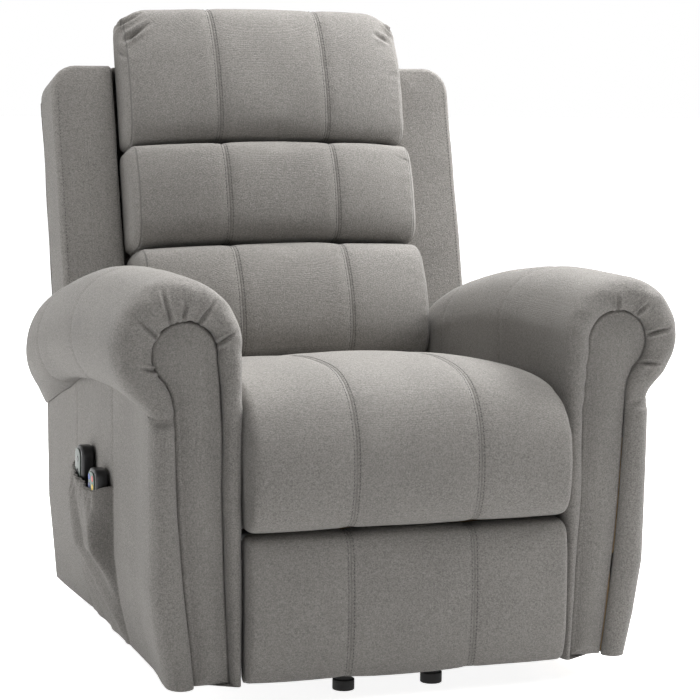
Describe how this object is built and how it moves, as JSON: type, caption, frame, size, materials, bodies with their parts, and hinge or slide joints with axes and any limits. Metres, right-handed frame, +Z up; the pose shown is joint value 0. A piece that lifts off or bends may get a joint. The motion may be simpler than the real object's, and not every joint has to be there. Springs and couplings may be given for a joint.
{
  "type": "lift recliner chair",
  "caption": "Upholstered powered lift recliner with rolled arms, stacked back pillows, folding footrest, tilting lift base, and a side pocket holding two handsets.",
  "frame": {"origin": "on the floor under the middle of the chair's box", "axes": "+Z up, sitter faces -Y, +X to the sitter's left"},
  "size_m": [0.9054, 0.976, 1.0441],
  "materials": {
    "grey_linen": "heathered linen-look upholstery weave",
    "frame_steel": "black powder coat",
    "bright_steel": "zinc-plated steel",
    "frame_wood": "plywood",
    "foot_rubber": "black moulded",
    "black_plastic": "moulded",
    "handset_black": "gloss moulded",
    "handset_silver": "pale silver",
    "handset_sage": "sage membrane",
    "key_red": "moulded",
    "key_yellow": "moulded",
    "key_blue": "moulded",
    "webbing": "elastic webbing"
  },
  "bodies": {
    "base": {"base_side_rails": "frame_steel", "base_cross_tubes": "frame_steel", "base_feet": "foot_rubber", "lift_brackets": "frame_steel", "lift_anchor": "frame_steel", "power_supply": "black_plastic"},
    "lift_link": {"lift_shaft": "frame_steel", "lift_arms": "frame_steel"},
    "control_link": {"control_links": "frame_steel"},
    "lift_actuator": {"lift_actuator": "black_plastic"},
    "lift_rod": {"lift_rod": "bright_steel"},
    "chassis": {"chassis_side_plates": "frame_steel", "chassis_cross_tubes": "frame_steel", "recline_anchor": "frame_steel", "seat_front_board": "frame_wood", "seat_rear_rail": "frame_wood", "seat_springs": "bright_steel", "seat_cushion": "grey_linen", "massage_control_box": "black_plastic", "arm_bolts": "bright_steel", "arm_frames": "frame_wood", "arm_roll_left": "grey_linen", "arm_roll_right": "grey_linen", "arm_inner_pads": "grey_linen", "arm_panel_left": "grey_linen", "arm_panel_right": "grey_linen", "arm_front_borders": "grey_linen", "arm_scroll_panels": "grey_linen", "remote_pocket": "grey_linen", "rear_skirt": "grey_linen"},
    "recline_actuator": {"recline_actuator": "black_plastic"},
    "recline_rod": {"recline_rod": "bright_steel"},
    "back": {"back_posts": "frame_wood", "back_rails": "frame_wood", "back_hinge_plates": "frame_steel", "back_hinge_pins": "bright_steel", "recline_lever": "frame_steel", "back_webbing": "webbing", "massage_motors": "black_plastic", "back_wings": "grey_linen", "rear_cover": "grey_linen", "head_pillow": "grey_linen", "mid_pillow": "grey_linen", "lumbar_pillow": "grey_linen"},
    "foot_rear_link": {"foot_rear_links": "frame_steel"},
    "foot_front_link": {"foot_front_links": "frame_steel"},
    "footrest": {"footrest_brackets": "frame_steel", "footrest_board": "frame_wood", "footrest_pad": "grey_linen"},
    "lift_handset": {"lift_handset_case": "handset_black", "lift_handset_face": "handset_silver"},
    "lift_up_key": {"lift_up_button": "handset_black"},
    "lift_down_key": {"lift_down_button": "handset_black"},
    "massage_handset": {"massage_handset_case": "handset_black", "massage_handset_face": "handset_sage"},
    "red_key": {"massage_keys_red": "key_red"},
    "yellow_key": {"massage_keys_yellow": "key_yellow"},
    "blue_key": {"massage_keys_blue": "key_blue"},
    "navy_key": {"massage_keys_navy": "key_blue"}
  },
  "joints": [
    {"name": "lift", "type": "hinge", "parent": "base", "child": "lift_link", "pos_m": [0, -0.27, 0.082], "axis": [1, 0, 0], "range_deg": [0, 48]},
    {"name": "chassis_tilt", "type": "hinge", "parent": "lift_link", "child": "chassis", "pos_m": [0, 0.13, 0.122], "axis": [1, 0, 0], "range_deg": [-23.5, 0]},
    {"name": "control_swing", "type": "hinge", "parent": "base", "child": "control_link", "pos_m": [0, -0.3112, 0.0803], "axis": [1, 0, 0], "range_deg": [0, 53.58]},
    {"name": "lift_drive_swing", "type": "hinge", "parent": "base", "child": "lift_actuator", "pos_m": [0, 0.272, 0.088], "axis": [1, 0, 0], "range_deg": [0, 1.57]},
    {"name": "lift_drive_stroke", "type": "slide", "parent": "lift_actuator", "child": "lift_rod", "axis": [0, -0.9888, 0.1491], "range_m": [0, 0.073]},
    {"name": "recline", "type": "hinge", "parent": "chassis", "child": "back", "pos_m": [0, 0.17128, 0.33], "axis": [-1, 0, 0], "range_deg": [0, 45]},
    {"name": "recline_drive_swing", "type": "hinge", "parent": "chassis", "child": "recline_actuator", "pos_m": [0, -0.13, 0.186], "axis": [1, 0, 0], "range_deg": [0, 0.77241]},
    {"name": "recline_drive_stroke", "type": "slide", "parent": "recline_actuator", "child": "recline_rod", "axis": [0, 0.9987, 0.05], "range_m": [-0.10665, 0]},
    {"name": "footrest", "type": "hinge", "parent": "chassis", "child": "foot_rear_link", "pos_m": [0, -0.32, 0.222], "axis": [-1, 0, 0], "range_deg": [0, 131]},
    {"name": "footrest_elbow", "type": "hinge", "parent": "foot_rear_link", "child": "foot_front_link", "pos_m": [0, -0.235, 0.08], "axis": [-1, 0, 0], "range_deg": [-126.5, 0]},
    {"name": "footrest_tip", "type": "hinge", "parent": "foot_front_link", "child": "footrest", "pos_m": [0, -0.381, 0.15], "axis": [-1, 0, 0], "range_deg": [0, 83.5]},
    {"name": "lift_handset_lift", "type": "slide", "parent": "chassis", "child": "lift_handset", "axis": [0, 0, 1], "range_m": [0, 0.07]},
    {"name": "massage_handset_lift", "type": "slide", "parent": "chassis", "child": "massage_handset", "axis": [0, 0, 1], "range_m": [0, 0.08]},
    {"name": "lift_up_key_press", "type": "slide", "parent": "lift_handset", "child": "lift_up_key", "axis": [1, 0, 0], "range_m": [0, 0.0012], "stiffness_N_per_m": 900},
    {"name": "lift_down_key_press", "type": "slide", "parent": "lift_handset", "child": "lift_down_key", "axis": [1, 0, 0], "range_m": [0, 0.0012], "stiffness_N_per_m": 900},
    {"name": "red_key_press", "type": "slide", "parent": "massage_handset", "child": "red_key", "axis": [1, 0, 0], "range_m": [0, 0.0012], "stiffness_N_per_m": 900},
    {"name": "yellow_key_press", "type": "slide", "parent": "massage_handset", "child": "yellow_key", "axis": [1, 0, 0], "range_m": [0, 0.0012], "stiffness_N_per_m": 900},
    {"name": "blue_key_press", "type": "slide", "parent": "massage_handset", "child": "blue_key", "axis": [1, 0, 0], "range_m": [0, 0.0012], "stiffness_N_per_m": 900},
    {"name": "navy_key_press", "type": "slide", "parent": "massage_handset", "child": "navy_key", "axis": [1, 0, 0], "range_m": [0, 0.0012], "stiffness_N_per_m": 900}
  ],
  "couplings": [
    {"joint": "chassis_tilt", "follows": "lift", "ratio": -0.47917},
    {"joint": "control_swing", "follows": "lift", "ratio": 1.1058},
    {"joint": "lift_drive_swing", "follows": "lift", "ratio": 0.022332},
    {"joint": "lift_drive_stroke", "follows": "lift", "m_per_rad": 0.086536},
    {"joint": "recline_drive_swing", "follows": "recline", "ratio": 0.006053},
    {"joint": "recline_drive_stroke", "follows": "recline", "m_per_rad": -0.13516},
    {"joint": "footrest_elbow", "follows": "footrest", "ratio": -0.96183},
    {"joint": "footrest_tip", "follows": "footrest", "ratio": 0.63359}
  ]
}
